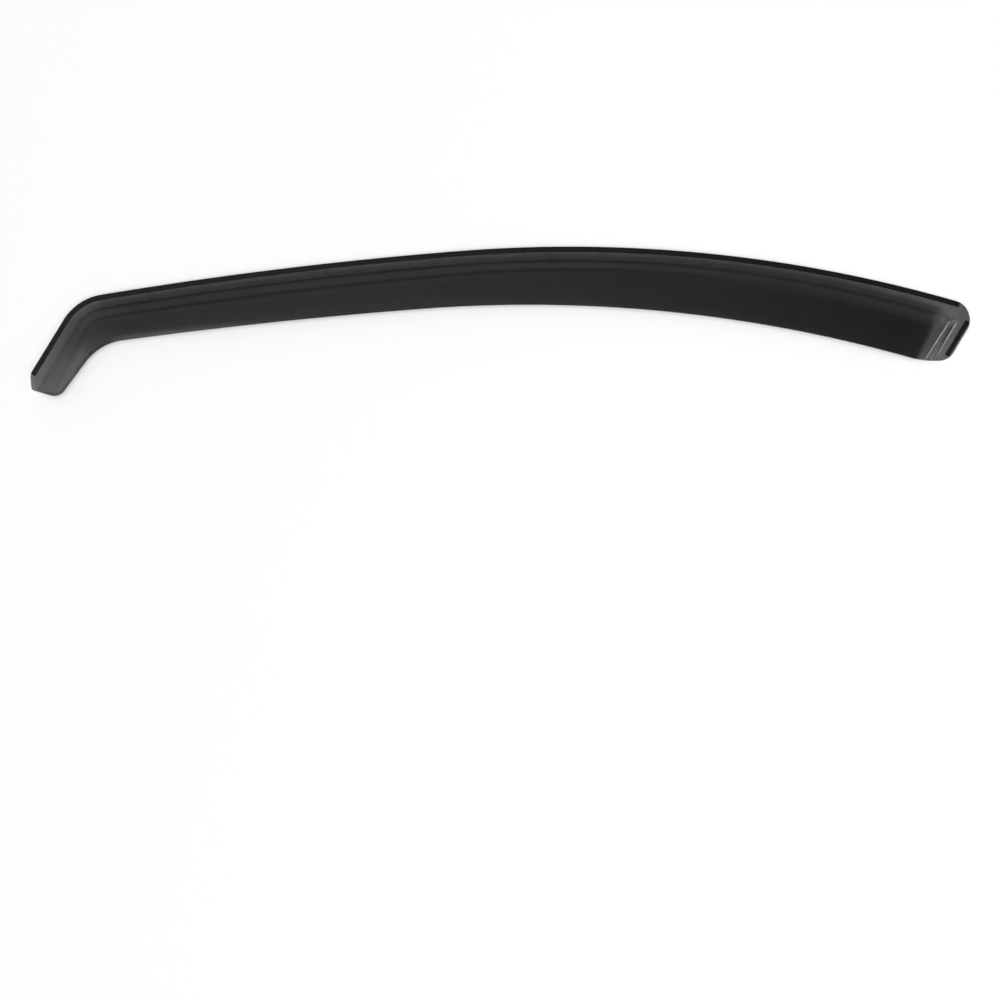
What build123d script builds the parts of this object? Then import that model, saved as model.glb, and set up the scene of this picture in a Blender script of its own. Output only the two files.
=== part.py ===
from build123d import *
import os
from math import cos, degrees, radians, sin, tan

# The sheet is drawn square on to the door: X runs to the rear of the car, Y up the door and Z outwards.
# The origin is on the tape's sticky face, in the middle of the tape's width at the top of the arch.

# Mounting edge, which follows the door frame
crown_radius = 1400.0  # the arch, behind and just ahead of its top
crown_run_rear = 416.75  # along the edge, from the top of the arch to the rear corner
crown_run_front = 109.5  # along the edge, from the top of the arch to where it flattens
front_radius = 4200.0  # the flatter stretch towards the windscreen
front_run = 362.6
bend_radius = 54.0  # where the edge turns down the windscreen pillar
leg_angle = 58.4  # pillar leg to the horizontal
leg_run = 79.2  # straight part of the leg, to the point where the tip's cut would meet it
leg_tip_slope = 16.2  # cut across the tip of the leg, to the horizontal
leg_heel = 15.2  # how far before that point the leg's outer side turns towards the upright
leg_heel_slope = 84.6  # below the turn, to the horizontal
rear_rake = 31.0  # rear end to the vertical

# Free edge, which hangs over the window opening
blade_depth = 58.7  # from the top of the arch down to the top of the free edge
free_crown_ahead = 41.0  # how far the top of the free edge lies ahead of the top of the arch
free_crown_radius = 1400.0
free_rear_gap = 32.75  # how much shorter its rear run is than the mounting edge's
free_run_front = 106.0
free_front_radius = 5200.0
free_front_gap = 37.9  # how much shorter its front run is than the mounting edge's
leg_inner_angle = 53.7  # inner side of the leg to the horizontal
kick_radius = 90.0  # the free edge levels out before the rear corner
kick_turn = 15.5

# Corners of the outline
rear_top_radius = 20.0
rear_low_radius = 18.0
leg_heel_radius = 14.0
leg_outer_tip_radius = 4.0
leg_inner_tip_radius = 12.5
inner_bend_radius = 55.0

# Section of the sheet: flange, slanted step and blade
sheet = 2.5
flange_width = 14.0  # mounting edge to the foot of the step, at the top of the arch
step_arch_radius = 1300.0  # foot of the step behind its top: the flange widens towards the rear
rear_flange_width = 13.5  # rear edge to the foot of the step
step_height = 8.0  # flange to blade, under the top of the arch
step_slant = 50.0  # step to the vertical
rear_step_slant = 36.0
step_corner_radius = 8.0  # the step where it turns down the rear end
foot_radius = 6.0
shoulder_radius = 7.0
blade_tilt = 5.0  # the free edge stands further out than the shoulder
blade_bow_radius = 20000.0  # lengthwise bow of the blade
blade_bow_ahead = 70.0  # how far the middle of the bow lies ahead of the top of the arch
outer_edge_round = 0.8  # on the cut edges
inner_edge_round = 0.4

# Foam tape under the flange
tape_thickness = 1.1
tape_width = 4.6
tape_margin = 0.7  # mounting edge to tape
tape_tip_gap = 16.0  # leg tip to tape, along the leg
tape_corner_gap = 21.05  # rear corner to tape, along the mounting edge
rear_tape_margin = 1.6  # rear edge to the short tape
rear_tape_drop = 17.6  # rear corner to the short tape
rear_tape_length = 40.2

# Construction lines and solids run this far past the part
overrun = 70.0
construction_size = 3 * (crown_run_rear + crown_run_front + front_run)

flange_bottom = tape_thickness
flange_top = flange_bottom + sheet
crown_angle_rear = degrees(crown_run_rear / crown_radius)
crown_angle_front = degrees(crown_run_front / crown_radius)
front_angle = degrees(front_run / front_radius)
bend_angle = leg_angle - crown_angle_front - front_angle
free_run_rear = crown_run_rear - free_rear_gap
free_front_run = front_run - free_front_gap
arch_top = Vector(0, tape_margin + tape_width / 2)


def heading(angle):
    return Vector(cos(radians(angle)), sin(radians(angle)))


def edge_line(inset, rear_radius, past_rear, past_tip):
    """A line that follows the mounting edge at inset from its top on, with its own radius behind the top."""
    top = arch_top - (0, inset)
    rear_angle = crown_angle_rear + degrees(past_rear / crown_radius)
    rear = CenterArc(top - (0, rear_radius), rear_radius, 90 - rear_angle, rear_angle)
    ahead = JernArc(top, (-1, 0), crown_radius - inset, crown_angle_front)
    front = JernArc(ahead @ 1, ahead % 1, front_radius - inset, front_angle)
    bend = JernArc(front @ 1, front % 1, bend_radius - inset, bend_angle)
    leg = PolarLine(bend @ 1, leg_run + past_tip, 180 + leg_angle)
    return Wire([rear, ahead, front, bend, leg])


def mounting_edge(inset, past_rear=0.0, past_tip=0.0):
    """The mounting edge moved in by inset, from the rear corner over the arch to the tip of the leg."""
    return edge_line(inset, crown_radius - inset, past_rear, past_tip)


rear_corner = mounting_edge(0) @ 0
leg_tip = mounting_edge(0) @ 1
far_below = leg_tip.Y - 2 * overrun
rear_frame = Pos(rear_corner.X, rear_corner.Y) * Rot(0, 0, -rear_rake)


def outline():
    """The part seen square on, with its corners rounded."""
    rear_line = Line(rear_corner, rear_corner - heading(90 - rear_rake) * construction_size)
    tip_line = Line(leg_tip, leg_tip + heading(-leg_tip_slope) * construction_size)

    free_crown = arch_top - (free_crown_ahead, blade_depth)
    rear = JernArc(free_crown, (1, 0), free_crown_radius, -degrees(free_run_rear / free_crown_radius))
    kick = JernArc(rear @ 1, rear % 1, kick_radius, kick_turn)
    run_out = IntersectingLine(kick @ 1, kick % 1, rear_line)
    ahead = JernArc(free_crown, (-1, 0), free_crown_radius, degrees(free_run_front / free_crown_radius))
    front = JernArc(ahead @ 1, ahead % 1, free_front_radius, degrees(free_front_run / free_front_radius))
    leg = IntersectingLine(front @ 1, heading(180 + leg_inner_angle), tip_line)

    edge = mounting_edge(0, past_tip=-leg_heel)
    heel = IntersectingLine(edge @ 1, heading(-leg_heel_slope), tip_line)
    leg_end = Line(heel @ 1, leg @ 1)
    rear_end = Line(rear_corner, run_out @ 1)
    face = make_face(edge.edges() + [heel, leg_end, leg, front, ahead, rear, kick, run_out, rear_end])
    corners = (
        (rear_corner, rear_top_radius),
        (run_out @ 1, rear_low_radius),
        (heel @ 0, leg_heel_radius),
        (heel @ 1, leg_outer_tip_radius),
        (leg @ 1, leg_inner_tip_radius),
        (front @ 1, inner_bend_radius),
    )
    for corner, radius in corners:
        face = fillet(face.vertices().sort_by_distance(corner)[0], radius)
    return face


def inside_step(shift):
    """All that lies inside the foot of the step moved in by shift, run on past the free edge and the ends."""
    edge = edge_line(flange_width + shift, step_arch_radius - shift, overrun, overrun)
    start = edge @ 0
    end = edge @ 1
    closing = Polyline(end, (end.X, far_below), (start.X, far_below), start)
    return make_face(edge.edges() + closing.edges())


def ahead_of_rear_step(depth):
    """All that lies ahead of the rear step's outer face moved in by depth."""
    size = construction_size
    block = Box(size, size, size, align=(Align.MAX, Align.CENTER, Align.CENTER))
    foot = rear_frame * Pos(-rear_flange_width, 0, flange_top)
    return foot * Rot(0, -rear_step_slant, 0) * Pos(-depth, 0, 0) * block


def under_blade(depth):
    """All that lies under the blade's outer face moved in by depth."""
    radius = blade_bow_radius - depth
    top = -depth
    half = construction_size / 2
    sag = radius - (radius**2 - half**2) ** 0.5
    bow = ThreePointArc((-half, top - sag), (0, top), (half, top - sag))
    box = Polyline((half, top - sag), (half, -half), (-half, -half), (-half, top - sag))
    section = Plane.XZ * make_face(bow.edges() + box.edges())
    shoulder = flange_width + step_height * tan(radians(step_slant))
    place = Pos(-blade_bow_ahead, arch_top.Y - shoulder, flange_top + step_height)
    return place * Rot(-blade_tilt, 0, 0) * extrude(section, half, both=True)


def near_part(edges):
    """The edges of a construction solid that are not on its far sides."""
    reach = construction_size / 4
    beside = edges.filter_by_position(Axis.X, -reach, reach)
    return beside.filter_by_position(Axis.Y, far_below + overrun, overrun)


def formed_block(depth):
    """A block whose top is the sheet's outer face moved in by depth: flange, step, rear end and blade."""
    slant = radians(step_slant)
    base = flange_top - depth
    foot = inside_step(depth * (1 - sin(slant)) / cos(slant))
    raised = Pos(0, 0, base) * extrude(foot, 2.5 * step_height, taper=step_slant)

    raised = raised & ahead_of_rear_step(depth)
    rising = raised.edges().filter_by(lambda edge: abs((edge @ 0).Z - (edge @ 1).Z) > step_height)
    raised = fillet(rising.sort_by_distance(rear_corner)[0], step_corner_radius - depth)
    raised = raised & under_blade(depth)
    blade = raised.faces().filter_by(GeomType.CYLINDER).sort_by(SortBy.AREA)[-1]
    raised = fillet(near_part(blade.edges()), shoulder_radius - depth)

    plate_height = base + step_height
    plate = Pos(0, 0, base - plate_height / 2) * Box(construction_size, construction_size, plate_height)
    block = plate + raised
    tolerance = sheet / 100
    at_base = block.edges().filter_by_position(Axis.Z, base - tolerance, base + tolerance)
    return fillet(near_part(at_base), foot_radius + depth)


def cut_edges(skin, side):
    """The edges where the cut meets the sheet's outer face (side 1) or its inner face (side -1)."""
    cut = skin.faces().filter_by(lambda face: abs(face.normal_at().Z) < 0.01)
    facing = skin.faces().filter_by(lambda face: face.normal_at().Z * side > 0.01).edges()
    return cut.edges().filter_by(lambda edge: edge in facing)


def make_shield():
    trim = extrude(outline(), 4 * step_height)
    skin = (formed_block(0) - formed_block(sheet)) & trim
    skin = fillet(cut_edges(skin, 1), outer_edge_round)
    return fillet(cut_edges(skin, -1), inner_edge_round)


def make_long_tape():
    outer = mounting_edge(tape_margin, -tape_corner_gap, -tape_tip_gap)
    inner = mounting_edge(tape_margin + tape_width, -tape_corner_gap, -tape_tip_gap)
    ends = [Line(outer @ 0, inner @ 0), Line(outer @ 1, inner @ 1)]
    return extrude(make_face(outer.edges() + inner.edges() + ends), tape_thickness)


def make_rear_tape():
    strip = Pos(-rear_tape_margin - tape_width / 2, -rear_tape_drop - rear_tape_length / 2) * Rectangle(
        tape_width, rear_tape_length
    )
    return rear_frame * extrude(strip, tape_thickness)


pieces = {"shield": make_shield(), "long_tape": make_long_tape(), "rear_tape": make_rear_tape()}
os.makedirs("parts", exist_ok=True)
for name, piece in pieces.items():
    export_step(piece, f"parts/{name}.step")
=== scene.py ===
import math
import bpy
import numpy as np
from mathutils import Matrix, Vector, geometry, noise


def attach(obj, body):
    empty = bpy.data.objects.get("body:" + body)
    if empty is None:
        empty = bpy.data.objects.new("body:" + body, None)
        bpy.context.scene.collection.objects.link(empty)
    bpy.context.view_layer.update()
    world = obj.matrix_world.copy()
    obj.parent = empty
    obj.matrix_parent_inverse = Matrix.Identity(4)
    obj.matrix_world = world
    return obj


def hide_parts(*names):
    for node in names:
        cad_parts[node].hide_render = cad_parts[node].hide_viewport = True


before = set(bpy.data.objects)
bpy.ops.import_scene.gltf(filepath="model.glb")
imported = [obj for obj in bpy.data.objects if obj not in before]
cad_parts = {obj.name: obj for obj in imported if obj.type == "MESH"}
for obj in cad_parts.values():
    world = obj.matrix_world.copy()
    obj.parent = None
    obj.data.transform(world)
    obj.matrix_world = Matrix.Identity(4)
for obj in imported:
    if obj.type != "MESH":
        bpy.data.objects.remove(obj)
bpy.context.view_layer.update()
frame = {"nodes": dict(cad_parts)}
scene = bpy.context.scene
scene.view_settings.view_transform = "Standard"
mm = 0.001  # all shapes are worked out in millimetres
print("frame loaded:", ", ".join(frame["nodes"]))


# Drawing lines with a pen: a line is rows of x, y and heading

pen = {
    "fewestSteps": 6,  # round a corner
    "samePoint": 1e-6,  # points closer than this are one
}


def unit(heading):
    return np.array((math.cos(heading), math.sin(heading)))


def trace(start, heading, runs, gap):
    # runs are (length, radius): radius 0 is straight, a minus turns to the right
    place = np.array(start, float)
    rows = [(place[0], place[1], heading)]
    for length, radius in runs:
        steps = max(1, math.ceil(length / gap))
        for step in range(1, steps + 1):
            along = length * step / steps
            turn = along / radius if radius else 0.0
            chord = 2 * radius * math.sin(turn / 2) if radius else along
            spot = place + chord * unit(heading + turn / 2)
            rows.append((spot[0], spot[1], heading + turn))
        place = np.array(rows[-1][:2])
        heading = rows[-1][2]
    return np.array(rows)


def backwards(line):
    flipped = line[::-1].copy()
    flipped[:, 2] += math.pi
    return flipped


def straight(start, end, gap):
    reach = np.array(end) - np.array(start)
    length = math.hypot(*reach)
    return trace(start, math.atan2(reach[1], reach[0]), [(length, 0)], gap)


def meet(p, headingP, q, headingQ):
    # where two straight lines cross
    a, b = unit(headingP), unit(headingQ)
    reach = np.array(q) - np.array(p)
    share = (reach[0] * b[1] - reach[1] * b[0]) / (a[0] * b[1] - a[1] * b[0])
    return np.array(p) + share * a


def cutBack(line, length):
    # takes a length off the far end of a line
    steps = np.hypot(*np.diff(line[:, :2], axis=0).T)
    along = np.concatenate(([0], np.cumsum(steps)))
    stop = along[-1] - length
    kept = line[along < stop - pen["samePoint"]]
    last = [np.interp(stop, along, line[:, column]) for column in range(3)]
    return np.vstack((kept, last))


def rounded(before, after, radius, gap):
    # an arc from the end of one line to the start of the next, which are both cut back to it
    turn = (after[0, 2] - before[-1, 2] + math.pi) % (2 * math.pi) - math.pi
    length = radius * abs(math.tan(turn / 2))
    before = cutBack(before, length)
    after = backwards(cutBack(backwards(after), length))
    handle = 4 / 3 * radius * abs(math.tan(turn / 4))
    knotA, knotB = before[-1, :2], after[0, :2]
    handleA = knotA + handle * unit(before[-1, 2])
    handleB = knotB - handle * unit(after[0, 2])
    count = max(pen["fewestSteps"], math.ceil(radius * abs(turn) / gap))
    knots = [Vector(p) for p in (knotA, handleA, handleB, knotB)]
    curve = geometry.interpolate_bezier(*knots, count + 1)
    arc = np.array([(p[0], p[1], before[-1, 2] + turn * i / count) for i, p in enumerate(curve)])
    return before, arc[1:-1], after


# The lines of the door frame, which the sheet and its tape both follow

doorFrame = {
    "archTop": (0.0, 3.0),  # the tape's middle is the origin
    "archRadius": 1400.0,
    "rearRun": 416.75,  # from the top of the arch to the rear corner
    "archRun": 109.5,  # and forwards to where the arch flattens
    "frontRadius": 4200.0,
    "frontRun": 362.6,
    "bendRadius": 54.0,  # into the leg
    "legSlope": 58.4,
    "legRun": 79.2,
    "rearRake": 31.0,
}
legTurn = math.radians(doorFrame["legSlope"])


def frameArcs(inset):
    # radius and turn of each arc from the top of the arch to the leg, for the edge moved in
    arch, front, bend = (doorFrame[name] for name in ("archRadius", "frontRadius", "bendRadius"))
    archTurn, frontTurn = doorFrame["archRun"] / arch, doorFrame["frontRun"] / front
    bendTurn = legTurn - (archTurn + frontTurn)
    return [(arch - inset, archTurn), (front - inset, frontTurn), (bend - inset, bendTurn)]


def frameLine(inset, gap, rearRadius=None, rearMore=0.0, legMore=0.0):
    # the mounting edge moved in, from the rear corner to the tip of the leg
    top = np.array(doorFrame["archTop"]) - (0, inset)
    rearRadius = rearRadius or doorFrame["archRadius"] - inset
    rearTurn = (doorFrame["rearRun"] + rearMore) / doorFrame["archRadius"]
    behind = trace(top, 0.0, [(rearRadius * rearTurn, -rearRadius)], gap)
    runs = [(radius * turn, radius) for radius, turn in frameArcs(inset)]
    runs.append((doorFrame["legRun"] + legMore, 0))
    ahead = trace(top, math.pi, runs, gap)
    return np.vstack((backwards(behind)[:-1], ahead))


rearCorner = frameLine(0, doorFrame["rearRun"])[0, :2]
rearHeading = math.radians(90 - doorFrame["rearRake"])
rearInward = unit(rearHeading + math.pi / 2)


# The smoked sheet: outline, flange, step and blade

sheetOutline = {
    "bladeDepth": 58.7,
    "freeTopAhead": 41.0,  # the free edge has its top ahead of the arch's
    "freeRadius": 1400.0,
    "freeRearRun": 384.0,
    "freeArchRun": 106.0,
    "freeFrontRadius": 5200.0,
    "freeFrontRun": 324.7,
    "kickRadius": 90.0,  # it levels out before the rear corner
    "kickTurn": 15.5,
    "legInnerSlope": 53.7,
    "legTipSlope": 16.2,
    "legHeel": 15.2,
    "legHeelSlope": 84.6,
    "legHeelBend": 14.0,  # radii of the corners, from here on
    "legOuterTip": 4.0,
    "legInnerTip": 12.5,
    "innerBend": 55.0,
    "rearLow": 18.0,
    "rearTop": 20.0,
}


def outlineLine(gap):
    shape = sheetOutline
    mounting = frameLine(0, gap, legMore=-shape["legHeel"])
    heel = mounting[-1, :2]
    legTip = frameLine(0, gap)[-1, :2]
    tipHeading = math.radians(-shape["legTipSlope"])
    heelTip = meet(heel, math.radians(-shape["legHeelSlope"]), legTip, tipHeading)
    freeTop = np.array(doorFrame["archTop"]) - (shape["freeTopAhead"], shape["bladeDepth"])
    archRun = (shape["freeArchRun"], shape["freeRadius"])
    frontRun = (shape["freeFrontRun"], shape["freeFrontRadius"])
    freeAhead = trace(freeTop, math.pi, [archRun, frontRun], gap)
    rearRun = (shape["freeRearRun"], -shape["freeRadius"])
    kickRun = (shape["kickRadius"] * math.radians(shape["kickTurn"]), shape["kickRadius"])
    freeBehind = trace(freeTop, 0.0, [rearRun, kickRun], gap)
    legHeading = math.radians(180 + shape["legInnerSlope"])
    innerTip = meet(legTip, tipHeading, freeAhead[-1, :2], legHeading)
    lowCorner = meet(freeBehind[-1, :2], freeBehind[-1, 2], rearCorner, rearHeading)
    runOut = straight(freeBehind[-1, :2], lowCorner, gap)
    sides = [
        mounting,
        straight(heel, heelTip, gap),
        straight(heelTip, innerTip, gap),
        straight(innerTip, freeAhead[-1, :2], gap),
        np.vstack((backwards(freeAhead)[:-1], freeBehind, runOut[1:])),
        straight(lowCorner, rearCorner, gap),
    ]
    corners = ["legHeelBend", "legOuterTip", "legInnerTip", "innerBend", "rearLow", "rearTop"]
    arcs = []
    for i, corner in enumerate(corners):
        following = (i + 1) % len(sides)
        sides[i], arc, sides[following] = rounded(sides[i], sides[following], shape[corner], gap / 2)
        arcs.append(arc)
    return np.vstack([row for i in range(len(sides)) for row in (sides[i], arcs[i])])


sheetShape = {
    "thickness": 2.5,
    "underside": 1.1,  # the tape lifts the flange by this much
    "flangeWidth": 14.0,
    "stepArchRadius": 1300.0,  # the foot of the step behind its top
    "rearFlangeWidth": 13.5,
    "stepHeight": 8.0,
    "stepSlant": 50.0,  # slants are to the upright
    "stepSlantBehind": 54.0,  # well behind the top of the arch
    "slantFade": (-100.0, 300.0),  # along the part, from the one to the other
    "rearStepSlant": 36.0,
    "cornerSlant": 28.5,  # the step is steeper where it turns the rear corner
    "cornerFade": (16.0, 6.0),  # ahead of the rear step's foot
    "rearTwist": 0.007,  # share by which the rear step is steeper for each millimetre down
    "rearSoftening": 0.02,  # share by which its shoulder is softer for each millimetre down
    "twistTop": -75.0,  # both start here
    "twistDrop": 40.0,  # and grow as far down as this
    "footCorner": 7.5,  # softness of the rear corner, at the step's foot
    "shoulderCorner": 6.5,  # and at its shoulder
    "footBlend": 1.9,  # softness of the bends between flange, step and blade
    "shoulderBlend": 2.0,
    "rearFootBlend": 2.4,
    "rearShoulderBlend": 3.6,
    "cornerSoftening": 1.0,  # added to the shoulder's in the rear corner
    "innerCorner": 0.7,  # bends of the inner face, as shares of the outer one's
    "innerShoulder": 0.65,
    "innerFoot": 1.4,
    "bladeTilt": 5.0,
    "bladeBowRadius": 20000.0,
    "bladeBowAhead": 70.0,
    "outerRound": 0.8,  # on the cut edges
    "innerRound": 0.4,
}


def ramp(value, low, high):
    # a soft change from 0 at low to 1 at high
    share = np.clip((value - low) / (high - low), 0, 1)
    return share * share * (3 - 2 * share)


def fade(before, after, share):
    return before + (after - before) * share


def lower(a, b, blend):
    # the lower of two heights, with a soft bend where they cross
    return np.minimum(a, b) - np.maximum(blend - abs(a - b), 0) ** 2 / (4 * blend)


def higher(a, b, blend):
    return -lower(-a, -b, blend)


def fromFoot(x, y):
    # how far a point lies inside the foot of the step, square to it
    def ahead(place, heading):
        return (x - place[0]) * math.cos(heading) + (y - place[1]) * math.sin(heading)

    def withinArc(centre, radius):
        return radius - np.hypot(x - centre[0], y - centre[1])

    inset = sheetShape["flangeWidth"]
    place, heading = np.array(doorFrame["archTop"]) - (0, inset), math.pi
    inside = withinArc(place - (0, sheetShape["stepArchRadius"]), sheetShape["stepArchRadius"])
    for radius, turn in frameArcs(inset):
        centre = place + radius * unit(heading + math.pi / 2)
        begun = ahead(centre, heading) > 0
        inside = np.where(begun & (x < 0), withinArc(centre, radius), inside)
        heading += turn
        place = centre - radius * unit(heading + math.pi / 2)
        past = ahead(place, heading) > 0
        inside = np.where(past & (x < 0), ahead(place, heading + math.pi / 2), inside)
    return inside


def fromRearFoot(x, y):
    # the same for the foot of the rear step
    inside = (x - rearCorner[0]) * rearInward[0] + (y - rearCorner[1]) * rearInward[1]
    return inside - sheetShape["rearFlangeWidth"]


def downRear(y):
    # how far down the rear end a point lies, from where the twist starts
    return np.clip(sheetShape["twistTop"] - y, 0, sheetShape["twistDrop"])


def stepRuns(x, y):
    # how far the step and the rear step reach in for each millimetre up
    shape = sheetShape
    slants = ("stepSlant", "stepSlantBehind", "cornerSlant", "rearStepSlant")
    ahead, behind, corner, rear = (math.tan(math.radians(shape[slant])) for slant in slants)
    along = fade(ahead, behind, ramp(x, *shape["slantFade"]))
    along = fade(along, corner, ramp(fromRearFoot(x, y), *shape["cornerFade"]))
    return along, rear * (1 - shape["rearTwist"] * downRear(y))


def sheetHeight(x, y, depth):
    # height of the outer face moved in by depth, with soft bends
    shape = sheetShape
    archRun, rearRun = stepRuns(x, y)
    tilt = math.radians(shape["bladeTilt"])
    flange = shape["underside"] + shape["thickness"]
    arch = flange + fromFoot(x, y) / archRun - depth * np.hypot(1, 1 / archRun)
    rear = flange + fromRearFoot(x, y) / rearRun - depth * np.hypot(1, 1 / rearRun)
    shoulder = doorFrame["archTop"][1] - shape["flangeWidth"]
    shoulder -= shape["stepHeight"] * math.tan(math.radians(shape["stepSlant"]))
    blade = flange + shape["stepHeight"] + (shoulder - y) * math.tan(tilt)
    bow = (x + shape["bladeBowAhead"]) ** 2 / (2 * shape["bladeBowRadius"])
    blade = blade - (bow + depth) / math.cos(tilt)

    # the bends are sharper or softer on the inner face, and change towards the rear step
    inner = depth / shape["thickness"]
    climb = np.clip((np.minimum(arch, rear) - flange) / shape["stepHeight"], 0, 1)
    corner = fade(shape["footCorner"], shape["shoulderCorner"], climb)
    step = lower(arch, rear, corner * fade(1, shape["innerCorner"], inner))
    toRear = np.clip(0.5 + (arch - rear) / (2 * corner), 0, 1)
    rearBlend = shape["rearShoulderBlend"] * (1 + shape["rearSoftening"] * downRear(y))
    shoulderBlend = fade(shape["shoulderBlend"], rearBlend, toRear)
    shoulderBlend = shoulderBlend + shape["cornerSoftening"] * (1 - abs(2 * toRear - 1))
    footBlend = fade(shape["footBlend"], shape["rearFootBlend"], toRear)
    raised = lower(step, blade, shoulderBlend * fade(1, shape["innerShoulder"], inner))
    return higher(raised, flange - depth, footBlend * fade(1, shape["innerFoot"], inner))


def edgeReach(x, y, outline):
    # distance to the nearest side of the outline
    near = np.full(len(x), np.inf)
    ends = np.roll(outline[:, :2], -1, axis=0)
    for (a, b), (c, d) in zip(outline[:, :2], ends):
        reach = max((c - a) ** 2 + (d - b) ** 2, pen["samePoint"] ** 2)
        share = np.clip(((x - a) * (c - a) + (y - b) * (d - b)) / reach, 0, 1)
        near = np.minimum(near, (x - a - share * (c - a)) ** 2 + (y - b - share * (d - b)) ** 2)
    return np.sqrt(near)


# How much light the sheet lets through: an even smoke tint with painted light and shade laid into it. There
# is painted shade on the blade, where the paper under it is shadowed, and painted light on the flange and
# at both ends, where light gets in under the sheet

smokeAndPaintedLight = {
    "blade": 0.055,  # share of the light that passes, as are the figures without a note
    "flangeByTape": 0.185,
    "flangeByFoot": 0.109,
    "rearFlange": 0.245,
    "rearFlangeLow": 0.30,
    "rearFirst": 0.4,  # share of the flange's change that comes well before the rear end
    "footKeeps": 0.85,  # share of it that stays away from the foot of the step
    "rearStep": 0.20,
    "rearSkew": 0.1,  # lean of the line where the rear step's tint comes in
    "rearSkewAbout": -93.0,  # the height where it doesn't shift that line
    "rearSkewMost": 2.0,  # the most that it shifts it
    "rearWall": 0.125,
    "legFlange": 0.30,
    "legStep": 0.20,
    "legBlade": 0.235,
    "legFirst": 0.42,  # share of the leg's change that comes at its top
    "legRim": 0.55,  # share that is left along the leg's inner edge
    "legFootShift": 1.8,  # the flange's tint runs this far up the leg's step
    "freeEdge": 0.115,  # painted light added along the free edge, beside the leg
    "freeShade": 0.28,  # painted shade: share that is lost along the rest of it
    "rearShade": 0.16,  # painted shade: share that the blade loses towards the rear
    "stepBehind": 0.010,  # painted light added on the step behind the top of the arch
    "shoulderAhead": 0.014,  # painted light added beside the shoulder ahead of it
}

# Where each tint and each patch of painted light and shade comes in: nothing of it at the first figure, all
# of it at the second
smokeAndPaintedLightFades = {
    # along the part, rearwards from the top of the arch
    "offTapeToRear": (250, 390),
    "towardsRear": (240, 345),
    "rearEnd": (335, 385),
    "rearShade": (200, 340),
    "stepBehind": (40, 240),
    "shoulderAhead": (40, -80),
    "nearLeg": (-240, -425),
    # up the door
    "rearFlangeLow": (-80, -105),
    # down the leg
    "legFlange": (278, 306),
    "legFlangeLow": (306, 392),
    "legStep": (275, 312),
    "legStepInner": (296, 345),
    "legStepLow": (325, 385),
    "legBlade": (326, 368),
    "aboveLeg": (330, 300),
    "legFootShift": (300, 330),
    "legRim": (318, 336),
    # in from the edge
    "offTape": (5.0, 11.5),
    "freeShade": (12.0, 1.5),
    "freeEdge": (4.5, 1.2),
    "freeEdgeByLeg": (7.5, 1.2),
    "rim": (3.6, 2.2),
    # in from the foot of the step
    "foot": (-2.2, -0.2),
    "offRearTape": (-9.0, -4.5),
    "pastStep": (8.0, 16.0),
    "slopeStart": (1.5, 4.0),
    "slopeEnd": (13.5, 10.0),
    "shoulderStart": (8.5, 11.0),
    "shoulderEnd": (20.0, 13.0),
    "legInner": (9.0, 15.0),
    "legBladeStart": (11.0, 18.0),
    "legRimStart": (6.0, 10.0),
    "freeEdgeStart": (12.0, 20.0),
    "onStep": (13.0, 3.0),
    "rearWallStart": (5.0, 10.0),
    # ahead of the rear step's foot
    "rearFoot": (-1.5, 1.5),
    "aheadOfRear": (9, 29),
    "rearStep": (19.5, 13.4),
    "rearStepOnArch": (32.0, 7.4),
    "rearWall": (7.0, 5.0),
}


def comesIn(measure, tint):
    return ramp(measure, *smokeAndPaintedLightFades[tint])


def comesBetween(measure, one, other, share):
    # the same for a tint whose figures pass from one row to another
    low, high = (fade(a, b, share) for a, b in zip(smokeAndPaintedLightFades[one], smokeAndPaintedLightFades[other]))
    return ramp(measure, low, high)


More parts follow.
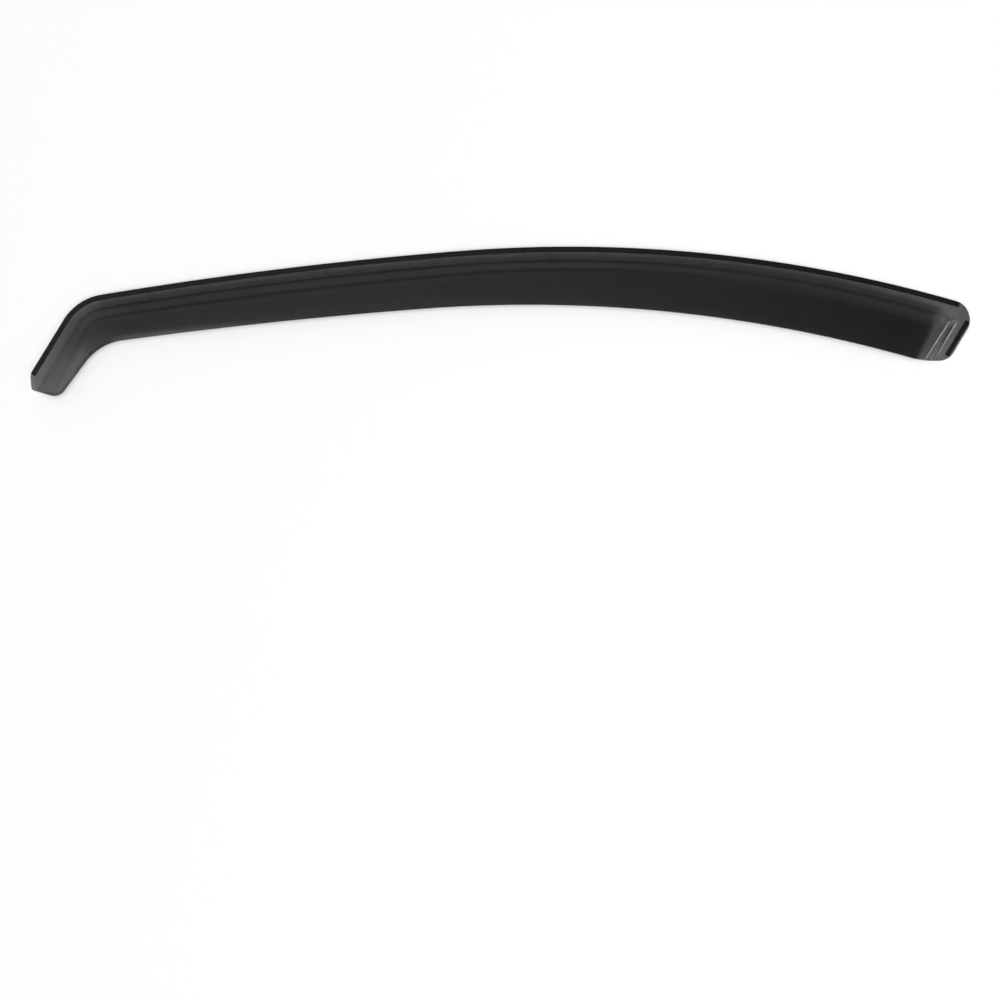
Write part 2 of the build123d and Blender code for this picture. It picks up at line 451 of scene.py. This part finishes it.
def clearnessWithPaintedLight(x, y, outline):
    # the smoke tint, with painted light where the paper under the sheet is lit and painted shade where it
    # is shadowed
    inside = fromFoot(x, y)
    fromRear = fromRearFoot(x, y)
    downLeg = -(x * math.cos(legTurn) + y * math.sin(legTurn))
    fromEdge = edgeReach(x, y, outline)

    # flange: painted light and shade, palest beside the tape, darker towards the foot of the step, and
    # paler towards both ends
    byFoot = fade(comesIn(fromEdge, "offTape"), comesIn(inside, "offRearTape"), comesIn(x, "offTapeToRear"))
    flange = fade(smokeAndPaintedLight["flangeByTape"], smokeAndPaintedLight["flangeByFoot"], byFoot)
    onLeg = fade(comesIn(downLeg, "legFlangeLow"), comesIn(downLeg, "legFlange"), smokeAndPaintedLight["legFirst"])
    flange = fade(flange, smokeAndPaintedLight["legFlange"], onLeg)
    rearFlange = fade(smokeAndPaintedLight["rearFlange"], smokeAndPaintedLight["rearFlangeLow"], comesIn(y, "rearFlangeLow"))
    toRear = fade(comesIn(x, "rearEnd"), comesIn(x, "towardsRear"), smokeAndPaintedLight["rearFirst"])
    toRear = toRear * (1 - smokeAndPaintedLight["footKeeps"] * byFoot * comesIn(fromRear, "aheadOfRear"))
    flange = fade(flange, rearFlange, toRear)

    # step and blade: painted shade, darker along the free edge and towards the rear, with painted light on
    # the step and beside the shoulder
    pastStep = comesIn(inside, "pastStep")
    blade = smokeAndPaintedLight["blade"] * (1 - smokeAndPaintedLight["freeShade"] * comesIn(fromEdge, "freeShade") * pastStep)
    blade = blade * (1 - smokeAndPaintedLight["rearShade"] * comesIn(x, "rearShade") * pastStep)
    onSlope = comesIn(inside, "slopeStart") * comesIn(inside, "slopeEnd")
    blade = blade + smokeAndPaintedLight["stepBehind"] * comesIn(x, "stepBehind") * onSlope
    byShoulder = comesIn(inside, "shoulderStart") * comesIn(inside, "shoulderEnd")
    blade = blade + smokeAndPaintedLight["shoulderAhead"] * comesIn(x, "shoulderAhead") * byShoulder

    # painted light, paler down the leg and along the free edge beside it
    early = fade(comesIn(downLeg, "legStep"), comesIn(downLeg, "legStepInner"), comesIn(inside, "legInner"))
    onLeg = fade(comesIn(downLeg, "legStepLow"), early, smokeAndPaintedLight["legFirst"])
    blade = fade(blade, smokeAndPaintedLight["legStep"], onLeg)
    blade = fade(blade, smokeAndPaintedLight["legBlade"], comesIn(downLeg, "legBlade") * comesIn(inside, "legBladeStart"))
    nearLeg = comesIn(x, "nearLeg")
    beside = nearLeg * comesIn(downLeg, "aboveLeg") * comesIn(inside, "freeEdgeStart")
    alongEdge = comesBetween(fromEdge, "freeEdge", "freeEdgeByLeg", nearLeg)
    blade = blade + smokeAndPaintedLight["freeEdge"] * beside * alongEdge

    # painted light, paler at the closed end
    onStep = comesIn(inside, "onStep")
    most = smokeAndPaintedLight["rearSkewMost"]
    skew = np.clip(smokeAndPaintedLight["rearSkew"] * (y - smokeAndPaintedLight["rearSkewAbout"]), -most, most) * (1 - onStep)
    onRear = comesBetween(fromRear - skew, "rearStep", "rearStepOnArch", onStep)
    blade = fade(blade, smokeAndPaintedLight["rearStep"], onRear)
    blade = fade(blade, smokeAndPaintedLight["rearWall"], comesIn(fromRear, "rearWall") * comesIn(inside, "rearWallStart"))

    shift = smokeAndPaintedLight["legFootShift"] * comesIn(downLeg, "legFootShift")
    value = fade(flange, blade, comesIn(inside - shift, "foot") * comesIn(fromRear, "rearFoot"))
    # darker along the leg's inner edge
    rim = comesIn(fromEdge, "rim") * comesIn(downLeg, "legRim") * comesIn(inside, "legRimStart")
    return value * (1 - (1 - smokeAndPaintedLight["legRim"]) * rim)


# The sheet's mesh: rows of points that follow the bends, joined into triangles, and a rounded edge

sheetMesh = {
    "edgeGap": 1.6,  # along the outline
    "alongGap": 4.0,  # along the step
    "endGap": 0.8,  # along the step near the rear corner and round the bend
    "closeAhead": 40.0,  # near the rear corner: this far ahead of the rear step's foot
    "closeTurns": (188.0, 239.0),  # round the bend: headings
    "overrun": (50.0, 40.0),  # lines run on past the rear corner and the leg's tip
    "flangeRows": (-3.5, 3.0),  # rows across the flange: to here, this far apart
    "bendRows": ((-3.0, 3.0, 0.4), (3.0, 6.5, 0.8), (6.5, 14.5, 0.4)),  # over the bends: from, to, apart
    "bladeRows": (15.0, 4.0),  # across the blade: from here, this far apart
    "archReach": (-20.0, 90.0),  # first and last row of the arch
    "rearReach": (-15.0, 24.0),  # first and last row of the rear end
    "rearLine": (-20.0, 80.0),  # the rear end's rows run from above its corner to below its end
    "ridgeGap": 0.25,  # both keep this far from the ridge between them
    "rearKeeps": 23.0,  # the rear end's points stay within this of its foot
    "edgeRows": (0.8, 1.7, 2.6, 3.8, 5.5, 8.0),  # beside the outline's rounded edge
    "edgeShare": 0.9,  # share of its distance that such a row keeps where the outline bends
    "clearance": 0.7,  # inner points keep this far from the outline
    "cell": 0.3,  # points closer than this are thinned
    "rimSteps": 4,
    "nudge": 0.02,  # for measuring the slope
}


def rowsAcross(first, last):
    # close rows over both bends, wide ones on the flats
    flangeEnd, flangeGap = sheetMesh["flangeRows"]
    bladeStart, bladeGap = sheetMesh["bladeRows"]
    stretches = [(first, flangeEnd, flangeGap), *sheetMesh["bendRows"], (bladeStart, last, bladeGap)]
    return np.concatenate([np.arange(*stretch) for stretch in stretches])


def spreadInwards(places, rows, inward):
    # a row of points inwards from each place
    return (places[:, None, :] + rows[None, :, None] * inward[:, None, :]).reshape(-1, 2)


def insideOutline(points, outline, clearance):
    # even-odd test and distance to the nearest point of the outline
    x, y = points[:, 0], points[:, 1]
    inside = np.zeros(len(points), bool)
    near = np.full(len(points), np.inf)
    for (a, b), (c, d) in zip(outline, np.roll(outline, -1, axis=0)):
        if b != d:
            inside ^= ((b > y) != (d > y)) & (x < (c - a) * (y - b) / (d - b) + a)
        near = np.minimum(near, (x - a) ** 2 + (y - b) ** 2)
    return inside & (near > clearance ** 2)


def stepStations():
    # places along the foot of the step, close together near the rear corner and round the bend
    def follow(gap):
        inset, radius = sheetShape["flangeWidth"], sheetShape["stepArchRadius"]
        return frameLine(inset, gap, radius, *sheetMesh["overrun"])

    def isClose(line):
        low, high = (math.radians(turn) for turn in sheetMesh["closeTurns"])
        nearEnd = fromRearFoot(line[:, 0], line[:, 1]) < sheetMesh["closeAhead"]
        return nearEnd | ((line[:, 2] > low) & (line[:, 2] < high))

    wide, close = follow(sheetMesh["alongGap"]), follow(sheetMesh["endGap"])
    return np.vstack((wide[~isClose(wide)], close[isClose(close)]))


def overRidge(points):
    # above 0 where the arch's step is the lower one, below 0 where the rear step is
    x, y = points[:, 0], points[:, 1]
    archRun, rearRun = stepRuns(x, y)
    return fromRearFoot(x, y) / rearRun - fromFoot(x, y) / archRun


def sheetPoints(border, outward):
    gap = sheetMesh
    stations = stepStations()
    turned = stations[:, 2] + math.pi / 2
    inward = np.stack((np.cos(turned), np.sin(turned)), axis=1)
    arch = spreadInwards(stations[:, :2], rowsAcross(*gap["archReach"]), inward)

    down = np.arange(*gap["rearLine"], gap["endGap"])
    rearPlaces = rearCorner - down[:, None] * unit(rearHeading)
    rearRows = rowsAcross(*gap["rearReach"]) + sheetShape["rearFlangeWidth"]
    rear = spreadInwards(rearPlaces, rearRows, rearInward[None, :])

    # each family keeps to its own side of the ridge at the rear corner
    pastRear = fromRearFoot(arch[:, 0], arch[:, 1]) > gap["rearReach"][1]
    arch = arch[(overRidge(arch) > gap["ridgeGap"]) | pastRear]
    nearRear = fromRearFoot(rear[:, 0], rear[:, 1]) < gap["rearKeeps"]
    rear = rear[(overRidge(rear) < -gap["ridgeGap"]) & nearRear]
    points = np.vstack((arch, rear))
    points = points[insideOutline(points, border, gap["clearance"])]
    for row in gap["edgeRows"]:
        beside = border[::2] - row * outward[::2]
        points = np.vstack((points, beside[insideOutline(beside, border, gap["edgeShare"] * row)]))

    # rows that the inner bend folds together are thinned
    cell = np.round(points / gap["cell"]).astype(int)
    _, first = np.unique(cell, axis=0, return_index=True)
    return points[np.sort(first)]


def sheetPlan(border, outward):
    # the sheet's points and triangles seen square on, and which points are the border's
    flat = [Vector(p) for p in np.vstack((border, sheetPoints(border, outward)))]
    edge = list(range(len(border)))
    plan = geometry.delaunay_2d_cdt(flat, [], [edge], 1, pen["samePoint"])
    verts, _, triangles, original, _, _ = plan
    place = {source: index for index, sources in enumerate(original) for source in sources}
    print("sheet: points", len(flat), "kept", len(verts), "triangles", len(triangles))
    return np.array(verts), triangles, [place[i] for i in edge]


def sheetNormals(x, y, depth):
    h = sheetMesh["nudge"]
    slopeX = (sheetHeight(x + h, y, depth) - sheetHeight(x - h, y, depth)) / (2 * h)
    slopeY = (sheetHeight(x, y + h, depth) - sheetHeight(x, y - h, depth)) / (2 * h)
    facing = np.stack((-slopeX, -slopeY, np.ones_like(slopeX)), axis=1)
    return facing / np.linalg.norm(facing, axis=1)[:, None]


def edgeRings(outline, outward):
    # rings of points and normals round the cut edge, from the outer face to the inner one
    steps = sheetMesh["rimSteps"]
    upright = np.array((0.0, 0.0, 1.0))
    sideways = np.column_stack((outward, np.zeros(len(outline))))
    bends = (
        ("outerRound", 0.0, 1, range(1, steps + 1)),
        ("innerRound", sheetShape["thickness"], -1, range(steps, -1, -1)),
    )
    rings = []
    for bend, depth, side, order in bends:
        radius = sheetShape[bend]
        z = sheetHeight(outline[:, 0], outline[:, 1], depth)
        for step in order:
            angle = math.pi / 2 * step / steps
            ground = outline[:, :2] - radius * (1 - math.sin(angle)) * outward
            ring = np.column_stack((ground, z - side * radius * (1 - math.cos(angle))))
            rings.append((ring, math.sin(angle) * sideways + side * math.cos(angle) * upright))
    return rings


def meshObject(name, spots, faces, smooth):
    mesh = bpy.data.meshes.new(name)
    mesh.from_pydata((np.array(spots) * mm).tolist(), [], faces)
    mesh.polygons.foreach_set("use_smooth", smooth)
    mesh.update()
    piece = bpy.data.objects.new(name, mesh)
    scene.collection.objects.link(piece)
    return piece


def makeSheet():
    outline = outlineLine(sheetMesh["edgeGap"])
    outward = np.stack((np.sin(outline[:, 2]), -np.cos(outline[:, 2])), axis=1)
    border = outline[:, :2] - sheetShape["outerRound"] * outward
    plan, triangles, rim = sheetPlan(border, outward)

    # outer face, then inner face
    x, y = plan[:, 0], plan[:, 1]
    count = len(plan)
    spots, facings = [], []
    for depth, side in ((0.0, 1), (sheetShape["thickness"], -1)):
        spots.append(np.column_stack((x, y, sheetHeight(x, y, depth))))
        facings.append(side * sheetNormals(x, y, depth))
    faces = [tuple(t) for t in triangles] + [tuple(v + count for v in reversed(t)) for t in triangles]

    # rounded edge between the two
    rings = [rim]
    for ring, facing in edgeRings(outline, outward):
        start = 2 * count + (len(rings) - 1) * len(outline)
        rings.append(list(range(start, start + len(outline))))
        spots.append(ring)
        facings.append(facing)
    rings.append([v + count for v in rim])
    for upper, under in zip(rings, rings[1:]):
        for i in range(len(outline)):
            k = (i + 1) % len(outline)
            faces.append((upper[k], upper[i], under[i], under[k]))

    spots, facings = np.vstack(spots), np.vstack(facings)
    sheet = meshObject("smokedSheet", spots, faces, [True] * len(faces))
    mesh = sheet.data
    mesh.normals_split_custom_set_from_vertices(facings.tolist())
    # the smoke tint with painted light and shade, stored on the points
    clear = mesh.attributes.new("clearnessWithPaintedLight", "FLOAT", "POINT")
    clear.data.foreach_set("value", clearnessWithPaintedLight(spots[:, 0], spots[:, 1], outline).astype(np.float32))
    mesh.update()
    return sheet


# Nodes that the materials, lamps and sky share

def startMaterial(name):
    material = bpy.data.materials.new(name)
    material.use_nodes = True
    tree = material.node_tree
    tree.nodes.clear()
    output = tree.nodes.new("ShaderNodeOutputMaterial")
    return material, tree.nodes, tree.links, output.inputs["Surface"]


def mapped(nodes, links, source, start, end, low, high, smooth=False):
    # low at start, high at end
    node = nodes.new("ShaderNodeMapRange")
    node.interpolation_type = "SMOOTHSTEP" if smooth else "LINEAR"
    for name, value in (("From Min", start), ("From Max", end), ("To Min", low), ("To Max", high)):
        node.inputs[name].default_value = value
    links.new(source, node.inputs["Value"])
    return node.outputs["Result"]


def calculate(nodes, links, operation, first, second):
    node = nodes.new("ShaderNodeMath")
    node.operation = operation
    for socket, value in zip(node.inputs, (first, second)):
        if isinstance(value, float):
            socket.default_value = value
        else:
            links.new(value, socket)
    return node.outputs[0]


def bluish(nodes, links, grey, blue):
    # a grey with its blue multiplied
    colour = nodes.new("ShaderNodeCombineColor")
    for channel in ("Red", "Green"):
        links.new(grey, colour.inputs[channel])
    links.new(calculate(nodes, links, "MULTIPLY", grey, blue), colour.inputs["Blue"])
    return colour.outputs["Color"]


def softSpot(nodes, links, source, middle, edge, core, level):
    # nothing at edge and level at core, by the distance from middle
    reach = nodes.new("ShaderNodeVectorMath")
    reach.operation = "DISTANCE"
    reach.inputs[1].default_value = middle
    links.new(source, reach.inputs[0])
    return mapped(nodes, links, reach.outputs["Value"], edge, core, 0.0, level, smooth=True)


acrylic = {
    "ior": 1.49,
    "blue": 1.02,
    "smooth": 0.02,  # roughness
    "rubbed": 0.07,  # where cloths have dulled the gloss
    "rubs": {"scale": 22.0, "detail": 4.0, "range": (0.45, 0.75)},
    "hairs": {"scale": 1.0, "detail": 2.0, "range": (0.62, 0.72), "amount": 0.05},  # fine wiping marks
    "hairStretch": (40.0, 900.0, 900.0),  # along the sheet
    "mottle": {"scale": 70.0, "detail": 3.0, "range": (0.3, 0.7), "amount": 0.05},
    "waves": {"scale": 16.0, "detail": 1.0, "depth": 0.00015},
    "faceShare": 0.5,  # a shadow takes half of the smoke at each face
}


def acrylicMaterial():
    material, nodes, links, surface = startMaterial("smokedAcrylic")
    place = nodes.new("ShaderNodeTexCoord").outputs["Object"]

    def cloud(look, source):
        texture = nodes.new("ShaderNodeTexNoise")
        texture.inputs["Scale"].default_value = look["scale"]
        texture.inputs["Detail"].default_value = look["detail"]
        links.new(source, texture.inputs["Vector"])
        return texture.outputs["Fac"]

    # smoke tint with painted light and shade, a little cloudy
    tint = nodes.new("ShaderNodeAttribute")
    tint.attribute_name = "clearnessWithPaintedLight"
    look = acrylic["mottle"]
    cloudy = (1 - look["amount"], 1 + look["amount"])
    mottle = mapped(nodes, links, cloud(look, place), *look["range"], *cloudy)
    clear = calculate(nodes, links, "MULTIPLY", tint.outputs["Fac"], mottle)

    # gloss, dulled in places and along wiping marks
    look = acrylic["rubs"]
    rubbed = mapped(nodes, links, cloud(look, place), *look["range"], acrylic["smooth"], acrylic["rubbed"])
    stretch = nodes.new("ShaderNodeMapping")
    stretch.inputs["Scale"].default_value = acrylic["hairStretch"]
    links.new(place, stretch.inputs["Vector"])
    look = acrylic["hairs"]
    hair = cloud(look, stretch.outputs["Vector"])
    hairs = mapped(nodes, links, hair, *look["range"], 0.0, look["amount"])

    # faint waves left by forming
    look = acrylic["waves"]
    waves = nodes.new("ShaderNodeBump")
    waves.inputs["Strength"].default_value = 1.0
    waves.inputs["Distance"].default_value = look["depth"]
    links.new(cloud(look, place), waves.inputs["Height"])

    gloss = nodes.new("ShaderNodeBsdfPrincipled")
    gloss.inputs["IOR"].default_value = acrylic["ior"]
    gloss.inputs["Transmission Weight"].default_value = 1.0
    links.new(bluish(nodes, links, clear, acrylic["blue"]), gloss.inputs["Base Color"])
    links.new(calculate(nodes, links, "ADD", rubbed, hairs), gloss.inputs["Roughness"])
    links.new(waves.outputs["Normal"], gloss.inputs["Normal"])

    through = nodes.new("ShaderNodeBsdfTransparent")
    links.new(calculate(nodes, links, "POWER", clear, acrylic["faceShare"]), through.inputs["Color"])
    lightPath = nodes.new("ShaderNodeLightPath")
    shade = nodes.new("ShaderNodeMixShader")
    links.new(lightPath.outputs["Is Shadow Ray"], shade.inputs[0])
    links.new(gloss.outputs["BSDF"], shade.inputs[1])
    links.new(through.outputs["BSDF"], shade.inputs[2])
    links.new(shade.outputs["Shader"], surface)
    return material


sheet = makeSheet()
sheet.data.materials.append(acrylicMaterial())
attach(sheet, "root")
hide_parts("shield")
print("sheet made")


# Black foam tape, cut from the roll: one long strip along the door frame and a short one at the rear end

tape = {
    "width": 4.6,
    "height": 1.1,
    "seat": 0.03,  # the foam gives a little under the flange
    "margin": 0.7,
    "cornerGap": 21.05,
    "tipGap": 16.0,
    "rearMargin": 1.6,
    "rearDrop": 17.6,
    "rearLength": 40.2,
    "edgeRound": 0.18,
    "edgeTurns": (0, 30, 60, 90),
    "raggedness": 0.05,  # of the cut sides
    "raggedScale": 0.9,
    "raggedUp": 3.0,  # finer up the sides than along them
    "gap": 2.0,
}


def tapeSection():
    # half widths and heights round a strip with soft edges, counter-clockwise seen along the strip
    wide, high, soft = tape["width"] / 2, tape["height"] - tape["seat"], tape["edgeRound"]
    points = []
    for across, up, first in ((wide, high, 0), (-wide, high, 90), (-wide, 0, 180), (wide, 0, 270)):
        centre = (across - math.copysign(soft, across), up - soft if up else soft)
        for turn in tape["edgeTurns"]:
            angle = math.radians(first + turn)
            points.append((centre[0] + soft * math.cos(angle), centre[1] + soft * math.sin(angle)))
    return points


def makeTape(name, line):
    section = tapeSection()
    count = len(section)
    spots, faces = [], []
    for x, y, heading in line:
        side = unit(heading + math.pi / 2)
        for across, up in section:
            spot = Vector((x, y, tape["raggedUp"] * up)) * tape["raggedScale"]
            across += tape["raggedness"] * noise.noise(spot) * across / (tape["width"] / 2)
            spots.append((x + across * side[0], y + across * side[1], up))
    for row in range(0, (len(line) - 1) * count, count):
        for i in range(count):
            k = (i + 1) % count
            faces.append((row + i, row + k, row + count + k, row + count + i))
    faces.append(tuple(range(count - 1, -1, -1)))
    faces.append(tuple(range(len(spots) - count, len(spots))))
    return meshObject(name, spots, faces, [len(face) == 4 for face in faces])


foamLook = {
    "black": (0.007, 0.007, 0.008, 1),
    "grey": (0.022, 0.022, 0.024, 1),
    "roughness": 0.85,
    "specular": 0.25,
    "cellScale": 2600.0,
    "pitStrength": 0.35,
    "pitDepth": 0.0002,
}


def foamMaterial():
    material, nodes, links, surface = startMaterial("foamTape")
    foam = nodes.new("ShaderNodeBsdfPrincipled")
    foam.inputs["Roughness"].default_value = foamLook["roughness"]
    foam.inputs["Specular IOR Level"].default_value = foamLook["specular"]
    place = nodes.new("ShaderNodeTexCoord")
    cells = nodes.new("ShaderNodeTexVoronoi")
    cells.inputs["Scale"].default_value = foamLook["cellScale"]
    links.new(place.outputs["Object"], cells.inputs["Vector"])
    tone = nodes.new("ShaderNodeMix")
    tone.data_type = "RGBA"
    tone.inputs["A"].default_value = foamLook["black"]
    tone.inputs["B"].default_value = foamLook["grey"]
    links.new(cells.outputs["Distance"], tone.inputs["Factor"])
    links.new(tone.outputs["Result"], foam.inputs["Base Color"])
    pits = nodes.new("ShaderNodeBump")
    pits.inputs["Strength"].default_value = foamLook["pitStrength"]
    pits.inputs["Distance"].default_value = foamLook["pitDepth"]
    links.new(cells.outputs["Distance"], pits.inputs["Height"])
    links.new(pits.outputs["Normal"], foam.inputs["Normal"])
    links.new(foam.outputs["BSDF"], surface)
    return material


foam = foamMaterial()
longInset = tape["margin"] + tape["width"] / 2
longLine = frameLine(longInset, tape["gap"], rearMore=-tape["cornerGap"], legMore=-tape["tipGap"])
rearStart = rearCorner + (tape["rearMargin"] + tape["width"] / 2) * rearInward
rearStart = rearStart - tape["rearDrop"] * unit(rearHeading)
rearLine = straight(rearStart, rearStart - tape["rearLength"] * unit(rearHeading), tape["gap"])
for node, pieceName, line in (("long_tape", "longTape", longLine), ("rear_tape", "rearTape", rearLine)):
    strip = makeTape(pieceName, line)
    strip.data.materials.append(foam)
    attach(strip, "root")
    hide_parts(node)
print("tape made")


# Studio: white paper, soft light from above, two lamps at the right and a plain sky to mirror

studio = {
    "paperSize": 60.0,
    "paperMiddle": (-0.07, -0.25, 0),
    "paper": (0.965, 0.965, 0.965, 1),
    "sunPlace": (0, 0, 6),
    "sunLevel": 1.74,
    "sunColour": (1.0, 1.0, 0.94),  # makes up for the blue of the sky on the paper
    "sunSpread": 30.0,
    "rightLamp": {"place": (4.00, -1.80, 2.95), "size": 2.30, "power": 150.0, "onPaper": True},
    "backLamp": {"place": (4.05, 1.40, 3.50), "size": 2.50, "power": 480.0, "onPaper": False},  # gloss only
    "lampTarget": (0.1, -0.1, 0),
    "lampCore": 0.35,  # share of a lamp's width that is evenly bright; the rest fades to its edge
    "sky": 0.33,
    "horizon": 0.24,  # added towards the horizon
    "horizonFade": (0.4, 0.1),
    "skyBlue": 1.10,
}

# A pale panel and a dark one overhead, which the blade mirrors
overheadPanels = [
    {"towards": (-0.10, 0.30, 0.95), "spread": 0.34, "level": 0.28},
    {"towards": (0.17, 0.12, 0.97), "spread": 0.24, "level": -0.27},
]


def makePaper():
    bpy.ops.mesh.primitive_plane_add(size=studio["paperSize"], location=studio["paperMiddle"])
    paper = bpy.context.object
    paper.name = "paper"
    material, nodes, links, surface = startMaterial("paper")
    white = nodes.new("ShaderNodeBsdfDiffuse")
    white.inputs["Color"].default_value = studio["paper"]
    links.new(white.outputs["BSDF"], surface)
    paper.data.materials.append(material)


def makeSun():
    sunData = bpy.data.lights.new("softSky", "SUN")
    sunData.energy = studio["sunLevel"]
    sunData.color = studio["sunColour"]
    sunData.angle = math.radians(studio["sunSpread"])
    sun = bpy.data.objects.new("softSky", sunData)
    sun.location = studio["sunPlace"]
    sun.visible_glossy = False
    sun.visible_transmission = False
    scene.collection.objects.link(sun)


def softenLamp(lampData):
    lampData.use_nodes = True
    nodes, links = lampData.node_tree.nodes, lampData.node_tree.links
    spot = nodes.new("ShaderNodeNewGeometry").outputs["Parametric"]
    half = 0.5  # a lamp's own places run from 0 to 1
    soft = softSpot(nodes, links, spot, (half, half, 0.0), half, half * studio["lampCore"], 1.0)
    links.new(soft, nodes["Emission"].inputs["Strength"])


def makeLamp(name):
    lampData = bpy.data.lights.new(name, "AREA")
    lampData.shape = "DISK"
    lampData.size = studio[name]["size"]
    lampData.energy = studio[name]["power"]
    softenLamp(lampData)
    lamp = bpy.data.objects.new(name, lampData)
    lamp.location = studio[name]["place"]
    lamp.visible_diffuse = studio[name]["onPaper"]
    aim = Vector(studio["lampTarget"]) - lamp.location
    lamp.rotation_euler = aim.to_track_quat("-Z", "Y").to_euler()
    scene.collection.objects.link(lamp)


def makeSky():
    world = bpy.data.worlds.new("studio")
    world.use_nodes = True
    nodes, links = world.node_tree.nodes, world.node_tree.links
    background = nodes["Background"]
    background.inputs["Strength"].default_value = 1.0
    towards = nodes.new("ShaderNodeTexCoord").outputs["Generated"]
    split = nodes.new("ShaderNodeSeparateXYZ")
    links.new(towards, split.inputs[0])
    levels = (studio["sky"], studio["sky"] + studio["horizon"])
    total = mapped(nodes, links, split.outputs["Z"], *studio["horizonFade"], *levels, smooth=True)
    for panel in overheadPanels:
        spot = softSpot(nodes, links, towards, panel["towards"], panel["spread"], 0.0, panel["level"])
        total = calculate(nodes, links, "ADD", total, spot)
    links.new(bluish(nodes, links, total, studio["skyBlue"]), background.inputs["Color"])
    scene.world = world


# The camera looks straight down from far away
view = {
    "centre": (-0.0698, -0.2505),
    "height": 5.5592,
    "lens": 200.0,
    "sensor": 36.0,
    "farthest": 100.0,
}


def makeCamera():
    data = bpy.data.cameras.new("camera")
    data.lens = view["lens"]
    data.sensor_width = view["sensor"]
    data.clip_end = view["farthest"]
    camera = bpy.data.objects.new("camera", data)
    camera.location = (*view["centre"], view["height"])
    scene.collection.objects.link(camera)
    scene.camera = camera


makePaper()
makeSun()
makeLamp("rightLamp")
makeLamp("backLamp")
makeSky()
makeCamera()
print("studio made")
